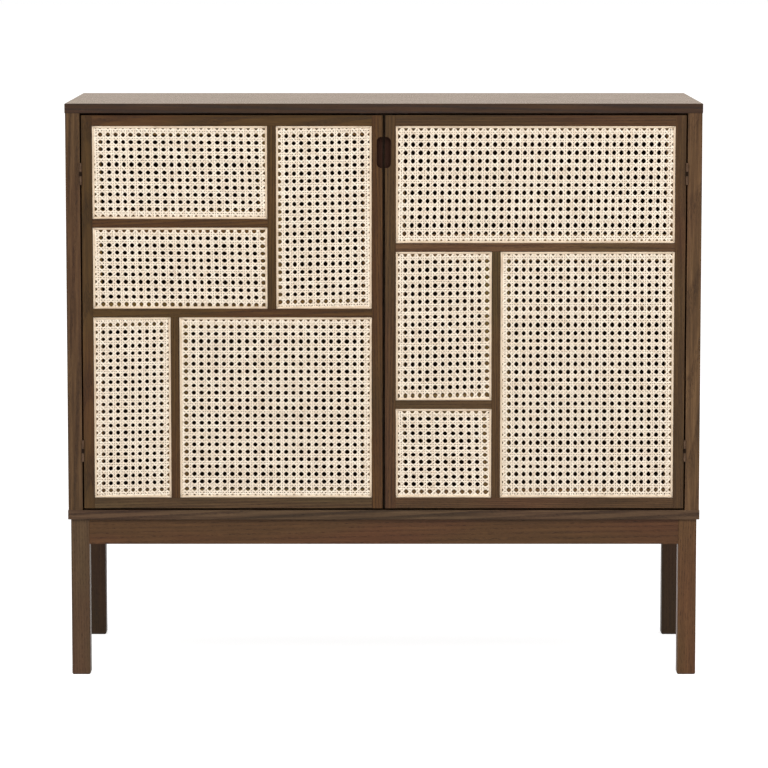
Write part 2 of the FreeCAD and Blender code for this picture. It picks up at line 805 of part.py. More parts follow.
def rout_grip(body, hinge_side):
    """Half of the finger grip, open at the edge where the doors meet."""
    centre = "door_height - grip_drop"
    low, high = f"{centre} - grip_length / 2", f"{centre} + grip_length / 2"
    if hinge_side == "left":
        left, right = "stile_face - grip_width", "stile_face"
    else:
        left, right = "0", "grip_width"
    outline = new_sketch(body, "XZ_Plane")
    rectangle(outline, left, low, right, high)
    pocket(body, outline, "grip_depth")
    dress("Fillet", body, "grip_round", lambda edge: runs_along(edge, "y") and starts_at_front(edge))


def ring(label, side, panel, back, depth, ease=None):
    """A band round the edge of a cane panel: the groove in the lips, or the spline that fills it."""
    (left, right), (bottom, top) = panel
    body = place(new_body(label), door_point(side, "0", back, "0"))
    outline = new_sketch(body, "XZ_Plane")
    rectangle(outline, left, bottom, right, top)
    low_inset = (f"{left} + groove_width", f"{bottom} + groove_width")
    rectangle(outline, *low_inset, f"{right} - groove_width", f"{top} - groove_width")
    pad(body, outline, depth, backwards=True)
    if ease:
        dress("Chamfer", body, ease, lies_in_front)
    return body


def cane(label, side, panel):
    """A sheet of cane on the lips, out to the spline."""
    (left, right), (bottom, top) = panel
    corner = (f"{left} + groove_width", "strip_depth - cane_thickness", f"{bottom} + groove_width")
    length = f"{right} - ({left}) - 2 * groove_width"
    height = f"{top} - ({bottom}) - 2 * groove_width"
    return board(label, door_point(side, *corner), length, "cane_thickness", height)


def strike_plate(side):
    """The steel plate on the back of a meeting stile, facing the catch's magnet."""
    sign = SIDES[side]
    middle = mirrored(sign, "divider_half + catch_width / 2")
    origin = (
        f"{middle} - strike_width / 2",
        "door_back",
        "door_bottom + door_height - strike_inset - strike_height",
    )
    return board(f"{side}_strike_plate", origin, "strike_width", "strike_thickness", "strike_height")


def build_door(side, hinge):
    panels = PANELS[side].items()
    groove = ("strip_depth", "groove_depth")
    rings = [ring(f"{side}_groove_{name}", side, panel, *groove) for name, panel in panels]
    grooves = group(f"{side}_grooves", rings)
    mortises = group(f"{side}_mortises", hinge["mortise"])
    screws = group(f"{side}_hinge_screws", hinge["door_screw"])
    leaves = group(blank_of(f"{side}_hinge_leaves"), hinge["door_leaf"])
    pieces = [screws, fitted(f"{side}_hinge_leaves", leaves, screws)]
    for name, (run, start, length, face, lips) in MEMBERS[side].items():
        label = f"{side}_{name}"
        blank = frame_member(blank_of(label), side, run, start, length, face, lips)
        if name == "meeting_stile":
            rout_grip(blank, side)
        tools = [grooves, mortises, screws] if name == "hinge_stile" else grooves
        pieces.append(fitted(label, blank, tools))
    pieces.extend(cane(f"{side}_cane_{name}", side, panel) for name, panel in panels)
    spline_depth = "strip_depth - spline_sunk + groove_depth"
    splines = [
        ring(f"{side}_spline_{name}", side, panel, "spline_sunk", spline_depth, "spline_ease")
        for name, panel in panels
    ]
    pieces.append(group(f"{side}_cane_splines", splines))
    pieces.append(strike_plate(side))
    return pieces


# --- Assembly ----------------------------------------------------------------------------------------


def build():
    """Every piece of the cabinet, as objects whose labels are their names."""
    screws_of_base, pattern = base_screws(), hinge_pattern()
    hinges = {side: hinge_parts(side, pattern) for side in SIDES}
    mortises, case_screws, pieces = {}, {}, build_base(screws_of_base)
    for side, hinge in hinges.items():
        mortises[side] = group(f"case_mortises_{side}", hinge["mortise"])
        case_screws[side] = group(f"case_hinge_screws_{side}", hinge["case_screw"])
        leaves = group(blank_of(f"case_hinge_leaves_{side}"), hinge["case_leaf"])
        pieces.append(fitted(f"case_hinge_leaves_{side}", leaves, case_screws[side]))
        pieces.extend(build_door(side, hinge))
    pieces.append(group("case_hinge_screws", [s for h in hinges.values() for s in h["case_screw"]]))
    pieces.append(group("hinge_pins", [p for h in hinges.values() for p in h["pin"]]))
    pieces.extend(build_case(mortises, case_screws, screws_of_base))
    return pieces


def check(pieces):
    """Stops if any object failed to recompute, or any piece isn't sound."""
    for thing in doc.Objects:
        if {"Invalid", "Error"} & set(thing.State):
            raise RuntimeError(f"{thing.Label} failed: {thing.State}")
    for piece in pieces:
        shape = piece.Shape
        if shape.isNull() or not shape.isValid() or not shape.Solids or shape.Volume <= 0:
            raise RuntimeError(f"{piece.Label} has no sound shape")


def write(pieces):
    os.makedirs("parts", exist_ok=True)
    for piece in pieces:
        piece.Shape.exportStep(os.path.join("parts", piece.Label + ".step"))


pieces = build()
doc.recompute()
check(pieces)
write(pieces)
solids = sum(len(piece.Shape.Solids) for piece in pieces)
print(f"{len(pieces)} sub-parts, {solids} solids")
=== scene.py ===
"""The looks of the record cabinet: dark stained wood, woven cane, split reed and bronzed hinges.

Metres, +Z up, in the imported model's frame: the origin is on the floor under the middle of the cabinet, and
the doors face -Y. The wooden pieces and most of the hardware are the CAD nodes with materials of their own.
The cane panels, the reeds round them and the hinges' screws are made here in place of the plain CAD ones: the
cane strand by strand, and the screws with their recesses.
"""

import json
import math
import random

import bpy
import numpy as np
from mathutils import Euler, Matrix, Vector


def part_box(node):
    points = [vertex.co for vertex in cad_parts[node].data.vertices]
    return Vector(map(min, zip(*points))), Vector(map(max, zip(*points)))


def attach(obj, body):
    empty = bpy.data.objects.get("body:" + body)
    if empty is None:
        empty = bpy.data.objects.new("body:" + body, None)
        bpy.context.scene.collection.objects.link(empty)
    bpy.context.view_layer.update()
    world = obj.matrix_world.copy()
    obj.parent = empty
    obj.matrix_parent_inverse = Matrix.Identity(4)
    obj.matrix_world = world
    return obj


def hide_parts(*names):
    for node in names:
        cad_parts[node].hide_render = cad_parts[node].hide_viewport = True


MM = 0.001

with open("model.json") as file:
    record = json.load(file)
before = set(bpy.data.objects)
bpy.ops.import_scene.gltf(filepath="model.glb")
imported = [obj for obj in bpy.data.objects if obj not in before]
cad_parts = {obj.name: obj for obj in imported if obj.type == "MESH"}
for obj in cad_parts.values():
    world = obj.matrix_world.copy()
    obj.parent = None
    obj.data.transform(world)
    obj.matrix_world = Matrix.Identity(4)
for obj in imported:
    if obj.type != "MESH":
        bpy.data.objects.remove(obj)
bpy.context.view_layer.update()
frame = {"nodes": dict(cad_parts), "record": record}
nodes = frame["nodes"]

# --- Measures ----------------------------------------------------------------------------------------

# The camera: about as high and as far off as the photographer's, with a long lens
CAMERA_PLACE = Vector((0.0, -7.225, 1.4208))
CAMERA_PITCH = math.radians(6.187)
CAMERA_LENS = 174.63
CAMERA_SENSOR = 36.0
CAMERA_SHIFT = (0.0003, -0.07)
CAMERA_SIGHT = 200.0  # how far off things may be that it still sees

# The weave: pairs of uprights and rows, and single diagonals both ways between the pairs
STRAND_WIDTH = 2.7 * MM
DIAGONAL_WIDTH = 2.7 * MM
STRAND_THICKNESS = 0.7 * MM
PAIR_GAP = 1.0 * MM
NODE_RISE = 0.36 * MM  # how far uprights and rows bend over and under each other
DIAGONAL_RISE = 0.72 * MM
FLIP = 0.12  # the part of a pitch over which a diagonal changes sides
WIDTH_RANGE = (0.93, 1.05)  # the shares of its width that a strand can have
FRONT_OF_LIPS = 1.1 * MM  # the weave's middle plane in front of the lips
UNDER_REED = 0.2 * MM  # how far the strands would reach under the reeds
PULL = 1.5 * MM  # and how much further the reeds draw them
DIVE = 5.0 * MM  # how near the reeds the strands begin to be drawn outwards and pressed flat
FLATTEST = 0.35  # the share of its rise that a strand keeps under the reeds
SPREAD = 0.46  # how much wider a strand would get if it were pressed wholly flat
SHORTEST = 0.3  # pitches: shorter strands, in a panel's corners, are left out
LAST_BEND = 0.05  # how many pitches before its ends a strand can still bend
REACH = 60  # pitches, more than any panel has each way

# How unevenly the lines of the weave lie, in pitches
SWAY = 0.028  # from one line to the next
SLOW_SWAY = 0.05  # and in waves over several lines
WAVES = (0.5, 0.9)  # how many radians of such a wave lie between two lines
WAVE_STARTS = (0.0, 6.0)
STRAIGHT = 0.8  # how many pitches from the reeds the lines still lie even
LOOSENING = 2.0  # and over how many more they come to lie as unevenly as the others

# Each panel's pitch across and up in mm, how far each row up is set off sideways and each column to the
# right set off upwards, and where in a pitch the middle of the panel lies, from the hole above and left
WEAVES = {
    "left_cane_top_outer": ((14.67, 14.04), (-0.38, -0.09), (0.05, 0.02)),
    "left_cane_middle_outer": ((14.47, 13.95), (-0.38, -0.10), (0.20, 0.08)),
    "left_cane_top_inner": ((14.25, 14.25), (-0.10, 0.27), (0.86, 0.89)),
    "left_cane_bottom_outer": ((13.80, 13.73), (0.06, 0.27), (0.01, 0.55)),
    "left_cane_bottom_inner": ((14.49, 14.06), (-0.03, -0.03), (0.70, 0.95)),
    "right_cane_top": ((14.01, 15.26), (0.24, 0.01), (0.53, 0.95)),
    "right_cane_middle_inner": ((13.99, 14.89), (-0.02, 0.21), (0.19, 0.19)),
    "right_cane_bottom_inner": ((15.07, 13.94), (-0.30, -0.05), (0.80, 0.73)),
    "right_cane_bottom_outer": ((13.97, 15.02), (-0.05, 0.02), (0.59, 0.39)),
}

# The reeds that close the grooves round the panels
GROOVE_WIDTH = 4.5 * MM
REED_WIDTH = GROOVE_WIDTH - 0.1 * MM
REED_SEAT = 1.2 * MM  # their edges in front of the lips
REED_CROWN = 1.3 * MM  # and how far they bulge out from there
REED_STEP = 14.0 * MM  # between the sections of one at which its width and crown vary
WIDTH_VARIES = 0.012  # the spread of those variations, as shares
CROWN_VARIES = 0.01
MITRE_GAP = 0.12 * MM


def named(rows, name):
    """The row of the record that has a name."""
    return next(row for row in rows if row["name"] == name)


def linear(colour):
    """A colour written in sRGB, from 0 to 255, as Blender's linear RGBA."""
    shares = [c / 255 for c in colour]
    return (*[s / 12.92 if s <= 0.04045 else ((s + 0.055) / 1.055) ** 2.4 for s in shares], 1.0)


# --- Materials ---------------------------------------------------------------------------------------


class Nodes:
    """The node tree of a new material or world, with short ways to add to it."""

    def __init__(self, owner):
        owner.use_nodes = True
        self.owner, self.tree = owner, owner.node_tree

    def feed(self, node, inputs):
        """Links sockets to a node's inputs, and sets the inputs that are given plain values."""
        for name, value in inputs.items():
            if isinstance(value, bpy.types.NodeSocket):
                self.tree.links.new(value, node.inputs[name])
            else:
                node.inputs[name].default_value = value
        return node

    def add(self, kind, inputs=(), **settings):
        node = self.tree.nodes.new("ShaderNode" + kind)
        for name, value in settings.items():
            setattr(node, name, value)
        return self.feed(node, dict(inputs))

    def place(self):
        return self.add("TexCoord").outputs["Object"]

    def part(self, vector, letter):
        """The X, Y or Z of a vector."""
        return self.add("SeparateXYZ", {"Vector": vector}).outputs[letter]

    def noise(self, vector, scale, detail=2.0, roughness=0.5):
        inputs = {"Vector": vector, "Scale": scale, "Detail": detail, "Roughness": roughness}
        return self.add("TexNoise", inputs).outputs["Fac"]

    def math(self, operation, *values):
        return self.add("Math", dict(enumerate(values)), operation=operation).outputs[0]

    def between(self, value, low, high, to_low=0.0, to_high=1.0, kind="SMOOTHSTEP"):
        """value's run from low to high, smoothed and mapped to another range."""
        inputs = {"Value": value, "From Min": low, "From Max": high, "To Min": to_low, "To Max": to_high}
        return self.add("MapRange", inputs, interpolation_type=kind).outputs["Result"]

    def blend(self, factor, first, second, blend_type="MIX"):
        """One colour turning into another, or multiplied by it."""
        node = self.add("Mix", data_type="RGBA", blend_type=blend_type)
        return self.feed(node, {0: factor, 6: first, 7: second}).outputs[2]

    def mixed(self, factor, first, second):
        """One shader turning into another."""
        return self.add("MixShader", {0: factor, 1: first, 2: second}).outputs[0]

    def mapped(self, source, scale, offset=(0.0, 0.0, 0.0), turn=(0.0, 0.0, 0.0)):
        inputs = {"Vector": source, "Scale": scale, "Location": offset, "Rotation": turn}
        return self.add("Mapping", inputs).outputs["Vector"]

    def finish(self, colour, roughness, height, depth, **constants):
        """Feeds the shader. height from 0 to 1 is drawn as a relief of that depth."""
        bump = self.add("Bump", {"Height": height, "Strength": 1.0, "Distance": depth})
        inputs = {"Base Color": colour, "Roughness": roughness, "Normal": bump.outputs["Normal"]}
        inputs |= {name.replace("_", " "): value for name, value in constants.items()}
        self.feed(self.tree.nodes["Principled BSDF"], inputs)
        return self.owner


def new_finish(name):
    return Nodes(bpy.data.materials.new(name))


WOOD = {
    "dark": (54, 36, 21),
    "mid": (76, 54, 34),
    "light": (98, 73, 48),
    "red": (88, 54, 34),
    "olive": (77, 60, 32),
    "pore": (34, 21, 12),
    # the colour of the grip's painted shade, where shade falls in its recess
    "grip": (44, 20, 8),
}
WOOD_SLOTS = ("stained_wood", "stained_wood_flat", "back_board")
# How much lighter, darker or redder than the rest some of the pieces are coloured; for the back legs it is
# painted shade, for the shadow they stand in under the case
TONES = {
    "side_panel_left": (1.12, 1.10, 1.06),
    "side_panel_right": (1.44, 1.42, 1.42),
    "leg_front_left": (1.15, 1.22, 1.40),
    "leg_front_right": (1.45, 1.28, 1.21),
    # painted shade: the back legs stand in the case's shadow
    "leg_back": (0.57, 0.53, 0.46),
    "apron": (1.18, 1.02, 0.94),
    "bottom_panel": (0.97, 1.04, 1.22),
    "right_cross_rail": (1.28, 1.30, 1.32),
    "left_bottom_rail": (0.93, 1.03, 1.00),
    "right_bottom_rail": (1.03, 0.95, 0.95),
    "right_short_rail": (1.06, 1.10, 1.02),
    "right_muntin": (0.98, 1.06, 0.83),
    "left_": (0.90, 0.82, 0.53),
    "right_": (0.91, 0.86, 0.74),
}
PAINTED_REFLECTION_EDGE_TONE = (0.46, 0.35, 0.22, 1.0)  # the top panel's edges beside its upper face: darker, so that the upper face keeps a painted reflection of the bright studio
LIP_TONE = (1.52, 1.74, 1.55, 1.0)  # the lips behind the cane took less stain
PANEL_WIDTH = 100 * MM  # wider pieces are panels, and stained more evenly than the members
PANEL_STAIN = 0.16
MEMBER_STAIN = 0.32
# How strongly the growth rings show
RINGS = {"leg": 0.1, "apron": 0.2, "side_panel": 0.3, "top_panel": 0.5, "left_": 0.5, "right_": 0.5}
OTHER_RINGS = 0.8
PLAINNESS = {"apron": 0.45, "leg": 0.35}  # how little of the grain shows
SHINE = {"top_panel": 0.3}
OTHER_SHINE = 0.2

# How many of each feature a metre has across the grain, and the share of that along it
FEATURES = {
    "streaks": (190.0, 0.035),
    "fibres": (1100.0, 0.035),
    "vessels": (2400.0, 0.05),
    "clouds": (11.0, 0.25),
    "waves": (14.0, 0.08),
}
RING_PITCH = 3.6 * MM
RING_RANGE = (0.8, 1.3)  # the shares of that pitch that a piece can have
RING_WANDER = 5.0 * MM
TRUNK_TILT = math.radians(1.6)
PITH_AWAY = (50 * MM, 160 * MM)  # how far the middle of the trunk was from a piece's own middle
# Between which parts of the way from one ring to the next the early wood sets in, and from where back to
# where it fades
EARLY_BEGINS = (0.0, 0.08)
EARLY_FADES = (0.55, 0.25)
LATE_PORES = 0.3  # how much of the pores the late wood has
# Between which values of its noise each goes from none to all
CLOUD_EDGES = (0.40, 0.62)
PORE_EDGES = (0.53, 0.60)
# The figure from the darkest wood to the lightest, and what makes it lighter or darker
FIGURE_EDGES = (0.32, 0.98)
FIGURE_BASE = 0.06
LIGHTENING = {"streaks": 1.05, "fibres": 0.30, "early": -0.30, "ringless": -0.10}
PORE_DARKNESS = 0.75
# The roughness of plain wood and of the top panel's polished face, and what makes it rougher
WOOD_ROUGHNESS = 0.29
POLISHED_ROUGHNESS = 0.11
ROUGHENING = {"streaks": 0.3, "pores": 0.2, "grip": 0.4}
WOOD_RELIEF = 0.08 * MM
FIBRE_RELIEF = 0.3  # how high the fibres are, as a share of the pores' depth
# How much of a face's normal points one way, from where the face begins to look that way to where it does
FACING = (0.5, 0.9)
LIP_EDGES = (0.4 * MM, 0.2 * MM)  # how near the lips' plane a face of theirs lies


def along_grain(axis, share):
    """A scale for each axis: share along the grain, and 1 across it."""
    return [share if a == axis else 1.0 for a in range(3)]


def feature(n, kind, place, axis, offset, **settings):
    """Noise that is drawn out along the grain."""
    per_metre, share = FEATURES[kind]
    return n.noise(n.mapped(place, along_grain(axis, share), offset), per_metre, **settings)


def growth_rings(n, place, name, axis, chance):
    """How far a point lies from one of the trunk's growth rings to the next, from 0 to 1."""
    low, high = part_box(name)
    tilt = Euler([0.0 if a == axis else chance.uniform(-TRUNK_TILT, TRUNK_TILT) for a in range(3)])
    angle, away = chance.uniform(0, 2 * math.pi), chance.uniform(*PITH_AWAY)
    offset = [away * math.cos(angle), away * math.sin(angle)]
    offset.insert(axis, 0.0)
    trunk = n.mapped(place, (1.0, 1.0, 1.0), Vector(offset) - tilt.to_matrix() @ ((low + high) / 2), tilt)
    flat = n.add("VectorMath", {0: trunk, 1: along_grain(axis, 0.0)}, operation="MULTIPLY").outputs[0]
    radius = n.add("VectorMath", {0: flat}, operation="LENGTH").outputs["Value"]
    wandering = n.math("MULTIPLY_ADD", feature(n, "waves", place, axis, offset), RING_WANDER, radius)
    return n.math("FRACT", n.math("DIVIDE", wandering, RING_PITCH * chance.uniform(*RING_RANGE)))


def wood_figure(n, name, early, streaks, fibres):
    """The wood's light and dark, which the growth rings, the streaks and the fibres make together."""
    rings = by_start(RINGS, name, OTHER_RINGS)
    base = FIGURE_BASE + LIGHTENING["ringless"] * (1 - rings)
    figure = n.math("MULTIPLY_ADD", streaks, LIGHTENING["streaks"], base)
    figure = n.math("MULTIPLY_ADD", early, LIGHTENING["early"] * rings, figure)
    figure = n.math("MULTIPLY_ADD", fibres, LIGHTENING["fibres"], figure)
    ramp = n.add("ValToRGB", {"Fac": n.between(figure, *FIGURE_EDGES)})
    stops = ramp.color_ramp.elements
    stops[0].color, stops[1].color = linear(WOOD["dark"]), linear(WOOD["light"])
    stops.new(0.5).color = linear(WOOD["mid"])
    return ramp.outputs["Color"]


def wood(name, axis):
    """Stained ring-porous wood with its grain along an axis, a little different on each piece."""
    n = new_finish(name + "_wood")
    place = n.place()
    chance = random.Random(name)
    offset = [chance.uniform(-5, 5) for _ in range(3)]
    ring = growth_rings(n, place, name, axis, chance)
    early = n.math("MULTIPLY", n.between(ring, *EARLY_BEGINS), n.between(ring, *EARLY_FADES))
    streaks = feature(n, "streaks", place, axis, offset, detail=3.0, roughness=0.6)
    fibres = feature(n, "fibres", place, axis, offset)
    pores = n.between(feature(n, "vessels", place, axis, offset[::-1]), *PORE_EDGES)
    pores = n.math("MULTIPLY", pores, n.math("MULTIPLY_ADD", early, 1 - LATE_PORES, LATE_PORES))

    figure = wood_figure(n, name, early, streaks, fibres)
    colour = n.blend(by_start(PLAINNESS, name, 0.0), figure, linear(WOOD["mid"]))
    clouds = n.between(feature(n, "clouds", place, axis, offset), *CLOUD_EDGES)
    stain = n.blend(clouds, linear(WOOD["olive"]), linear(WOOD["red"]))
    colour = n.blend(PANEL_STAIN if is_panel(name) else MEMBER_STAIN, colour, stain)
    colour = n.blend(n.math("MULTIPLY", pores, PORE_DARKNESS), colour, linear(WOOD["pore"]))
    colour = n.blend(1.0, colour, (*by_start(TONES, name, (1.0, 1.0, 1.0)), 1.0), "MULTIPLY")
    rough = n.math("MULTIPLY_ADD", pores, ROUGHENING["pores"], WOOD_ROUGHNESS)
    rough = n.math("MULTIPLY_ADD", streaks, ROUGHENING["streaks"], rough)
    if name == "top_panel":
        # Painted reflection: the edges are darkened and the upper face keeps its colour, as if it caught the
        # bright studio; its polish is roughness
        up = upward(n)
        colour = n.blend(up, n.blend(1.0, colour, PAINTED_REFLECTION_EDGE_TONE, "MULTIPLY"), colour)
        polished = n.math("MULTIPLY_ADD", streaks, ROUGHENING["streaks"], POLISHED_ROUGHNESS)
        rough = n.math("MULTIPLY_ADD", up, n.math("SUBTRACT", polished, rough), rough)
    if name.startswith(("left_", "right_")):
        colour = n.blend(on_lips(n, place), colour, n.blend(1.0, colour, LIP_TONE, "MULTIPLY"))
    # Painted shade in the finger grip's recess, where shade falls
    if "meeting_stile" in name:
        grip = painted_grip_shade(n, place)
        colour = n.blend(grip, colour, linear(WOOD["grip"]))
        rough = n.math("MULTIPLY_ADD", grip, ROUGHENING["grip"], rough)
    height = n.math("SUBTRACT", n.math("MULTIPLY", fibres, FIBRE_RELIEF), pores)
    shine = by_start(SHINE, name, OTHER_SHINE)
    return n.finish(colour, rough, height, WOOD_RELIEF, Specular_IOR_Level=shine)


def is_panel(name):
    low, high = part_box(name)
    return sorted(high - low)[1] > PANEL_WIDTH


def by_start(table, name, default):
    """What a table says of the pieces whose names start as this one's does."""
    return next((value for start, value in table.items() if name.startswith(start)), default)


def upward(n):
    """1 on faces that look up, and 0 on upright ones."""
    normal = n.add("NewGeometry").outputs["Normal"]
    return n.between(n.part(normal, "Z"), *FACING)


def on_lips(n, place):
    """1 on the faces of a door's frame that the cane panels lie on, and 0 elsewhere."""
    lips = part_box(next(iter(WEAVES)))[1].y
    away = n.math("ABSOLUTE", n.math("SUBTRACT", n.part(place, "Y"), lips))
    normal = n.add("TexCoord").outputs["Normal"]
    forwards = n.between(n.part(normal, "Y"), *(-share for share in FACING))
    return n.math("MULTIPLY", n.between(away, *LIP_EDGES), forwards)


# Painted shade in the finger grip's recess: how strongly it is painted darker than the face
GRIP_PAINTED_SHADE = 0.95
GRIP_SOFTNESS = 0.6 * MM  # the step in which the shade sets in and ends
GRIP_BEYOND = 10 * MM  # how much higher and lower than the opening's box the grip reaches


def painted_grip_shade(n, place):
    """Painted shade: how much darker the grip's recess is painted than the face, for the shade that falls in
    it.
    """
    grip = named(frame["record"]["physics"]["openings"], "finger_grip")
    (_, _, low), (_, bottom, high) = grip["box_m"]
    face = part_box("left_meeting_stile")[0].y
    depth = n.part(place, "Y")
    behind_face = n.between(depth, face + GRIP_SOFTNESS, face + 5 * GRIP_SOFTNESS)
    before_back = n.between(depth, bottom + 3 * GRIP_SOFTNESS, bottom + 2 * GRIP_SOFTNESS)
    reach = (high - low) / 2 + GRIP_BEYOND
    away = n.math("ABSOLUTE", n.math("SUBTRACT", n.part(place, "Z"), (low + high) / 2))
    inside = n.between(away, reach, reach - GRIP_SOFTNESS)
    sunk = n.math("MULTIPLY", behind_face, before_back)
    return n.math("MULTIPLY", n.math("MULTIPLY", sunk, inside), GRIP_PAINTED_SHADE)


# Bare wood: how much of its grain a metre has across it, and how far it is drawn out along Y
BARE_GRAIN = 420.0
BARE_STRETCH = (1.0, 0.12, 1.0)
BARE_EDGES = (0.35, 0.65)
BARE_COLOURS = ((150, 116, 80), (186, 152, 112))
BARE_ROUGHNESS = 0.62
BARE_RELIEF = 0.05 * MM


def bare_wood():
    n = new_finish("bare_hardwood")
    grain = n.noise(n.mapped(n.place(), BARE_STRETCH), BARE_GRAIN, detail=3.0)
    dark, light = BARE_COLOURS
    colour = n.blend(n.between(grain, *BARE_EDGES), linear(dark), linear(light))
    return n.finish(colour, BARE_ROUGHNESS, grain, BARE_RELIEF)


# Each metal's darker and lighter colour and its roughness
METALS = {
    "bronze": ((84, 65, 51), (104, 83, 67), 0.48),
    "dark_bronze": ((30, 22, 17), (48, 37, 29), 0.5),
    "zinc_plated_steel": ((128, 128, 125), (146, 146, 142), 0.3),
    "ferrite": ((34, 34, 36), (52, 52, 54), 0.6),
}
METAL_GRAIN = 900.0  # to a metre
METAL_CLOUDS = 75.0
METAL_EDGES = (0.75, 1.25)  # between which sums of both it goes from dark to light
METAL_VARIES = (0.08, -0.05)  # and from rougher to smoother by this much
METAL_RELIEF = 0.01 * MM


def metal(name):
    """Metal with a fine, uneven finish."""
    dark, light, roughness = METALS[name]
    n = new_finish(name)
    place = n.place()
    grain = n.noise(place, METAL_GRAIN, detail=4.0, roughness=0.65)
    lightness = n.between(n.math("ADD", grain, n.noise(place, METAL_CLOUDS)), *METAL_EDGES)
    colour = n.blend(lightness, linear(dark), linear(light))
    rough = n.between(lightness, 0.0, 1.0, *(roughness + change for change in METAL_VARIES))
    return n.finish(colour, rough, grain, METAL_RELIEF, Metallic=1.0)


PLASTIC_COLOUR = (72, 52, 38)
PLASTIC_SHADES = (0.85, 1.1)  # the shares of that colour that its grain has
PLASTIC_GRAIN = 1400.0
PLASTIC_ROUGHNESS = 0.5
PLASTIC_RELIEF = 0.02 * MM


def plastic():
    n = new_finish("brown_plastic")
    grain = n.noise(n.place(), PLASTIC_GRAIN)
    dark, light = (linear([share * c for c in PLASTIC_COLOUR]) for share in PLASTIC_SHADES)
    return n.finish(n.blend(grain, dark, light), PLASTIC_ROUGHNESS, grain, PLASTIC_RELIEF)


# The palest and the deepest strands' colours, the colour of darker stretches, and the roughness
STRANDS = {
    "natural_cane": ((253, 240, 221), (242, 225, 203), (216, 192, 165), 0.42),
    "split_reed": ((230, 209, 182), (222, 199, 172), (196, 170, 141), 0.45),
}
# How fast the fibres and the stretches vary along a strand, across it and from strand to strand
FIBRE_SCALES = (60.0, 9.0, 37.0)
STRETCH_SCALES = (22.0, 0.4, 61.0)
# Between which values of their noise they set in, and how much of their colour shows before and after
DARK_STRETCHES = (0.42, 0.72, 0.0, 0.6)
DARK_FIBRES = (0.55, 0.75, 0.0, 0.3)
FIBRE_SHADE = 0.8  # the fibres' colour as a share of the stretches'
ROUGH_FIBRES = (0.3, 0.7)
ROUGHNESS_VARIES = 0.06
STRAND_RELIEF = 0.05 * MM


def strand_material(name):
    """Split cane or reed: a shade for each strand, fibres along it and darker stretches here and there."""
    pale, deep, dark, roughness = STRANDS[name]
    n = new_finish(name)
    facts = n.add("Attribute", attribute_name="strand").outputs["Vector"]
    fibres = n.noise(n.mapped(facts, FIBRE_SCALES), 1.0, detail=3.0, roughness=0.6)
    stretches = n.noise(n.mapped(facts, STRETCH_SCALES), 1.0)
    colour = n.blend(n.part(facts, "Z"), linear(pale), linear(deep))
    colour = n.blend(n.between(stretches, *DARK_STRETCHES), colour, linear(dark))
    darkest = linear([FIBRE_SHADE * c for c in dark])
    colour = n.blend(n.between(fibres, *DARK_FIBRES), colour, darkest)
    ends = roughness - ROUGHNESS_VARIES, roughness + ROUGHNESS_VARIES
    rough = n.between(fibres, *ROUGH_FIBRES, *ends)
    return n.finish(colour, rough, n.math("SUBTRACT", 1.0, fibres), STRAND_RELIEF)


# --- Dressing the CAD pieces -------------------------------------------------------------------------


def dress(piece, material):
    piece.data.materials.clear()
    piece.data.materials.append(material)


def grain_axis(name):
    """The axis that a wooden piece's grain runs along, which is its longest one."""
    low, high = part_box(name)
    return max(range(3), key=lambda axis: high[axis] - low[axis])


def dress_wood():
    slots = {row["node"]: row["material_slot"] for row in frame["record"]["subparts"]}
    for name, piece in nodes.items():
        if slots[name] in WOOD_SLOTS:
            dress(piece, wood(name, grain_axis(name)))


def dress_hardware(bronze, steel):
    dark_bronze = metal("dark_bronze")
    hardwood = bare_wood()
    materials = {
        "case_hinge_leaves_left": bronze,
        "case_hinge_leaves_right": bronze,
        "left_hinge_leaves": dark_bronze,
        "right_hinge_leaves": dark_bronze,
        "hinge_pins": bronze,
        "base_screws": steel,
        "shelf_pins": steel,
        "left_strike_plate": steel,
        "right_strike_plate": steel,
        "catch_magnets": metal("ferrite"),
        "catch_housings": plastic(),
        "corner_blocks": hardwood,
        "case_dowels": hardwood,
    }
    for name, material in materials.items():
        dress(nodes[name], material)


# --- Strands -----------------------------------------------------------------------------------------

# A split strand's section, in shares of its width and thickness: its flat back faces into the cabinet
STRAND_SECTION = [(-0.5, -0.25), (-0.28, 0.36), (0.28, 0.36), (0.5, -0.25), (0.36, -0.5), (-0.36, -0.5)]
# A reed's section, in shares of its width and crown, and its back in the groove
REED_SECTION = [(-0.5, 0.0), (-0.4, 0.62), (-0.2, 0.94), (0.0, 1.0), (0.2, 0.94), (0.4, 0.62), (0.5, 0.0)]
REED_BACK = [(0.5, -1.5), (-0.5, -1.5)]

# In a strand's band of the map, as shares of its length and width: the margins, and its cut ends inside them
BAND_MARGINS = (0.01, 0.05)
CUT_END_PLACE = 0.004
CUT_END_RADII = (0.003, 0.02)


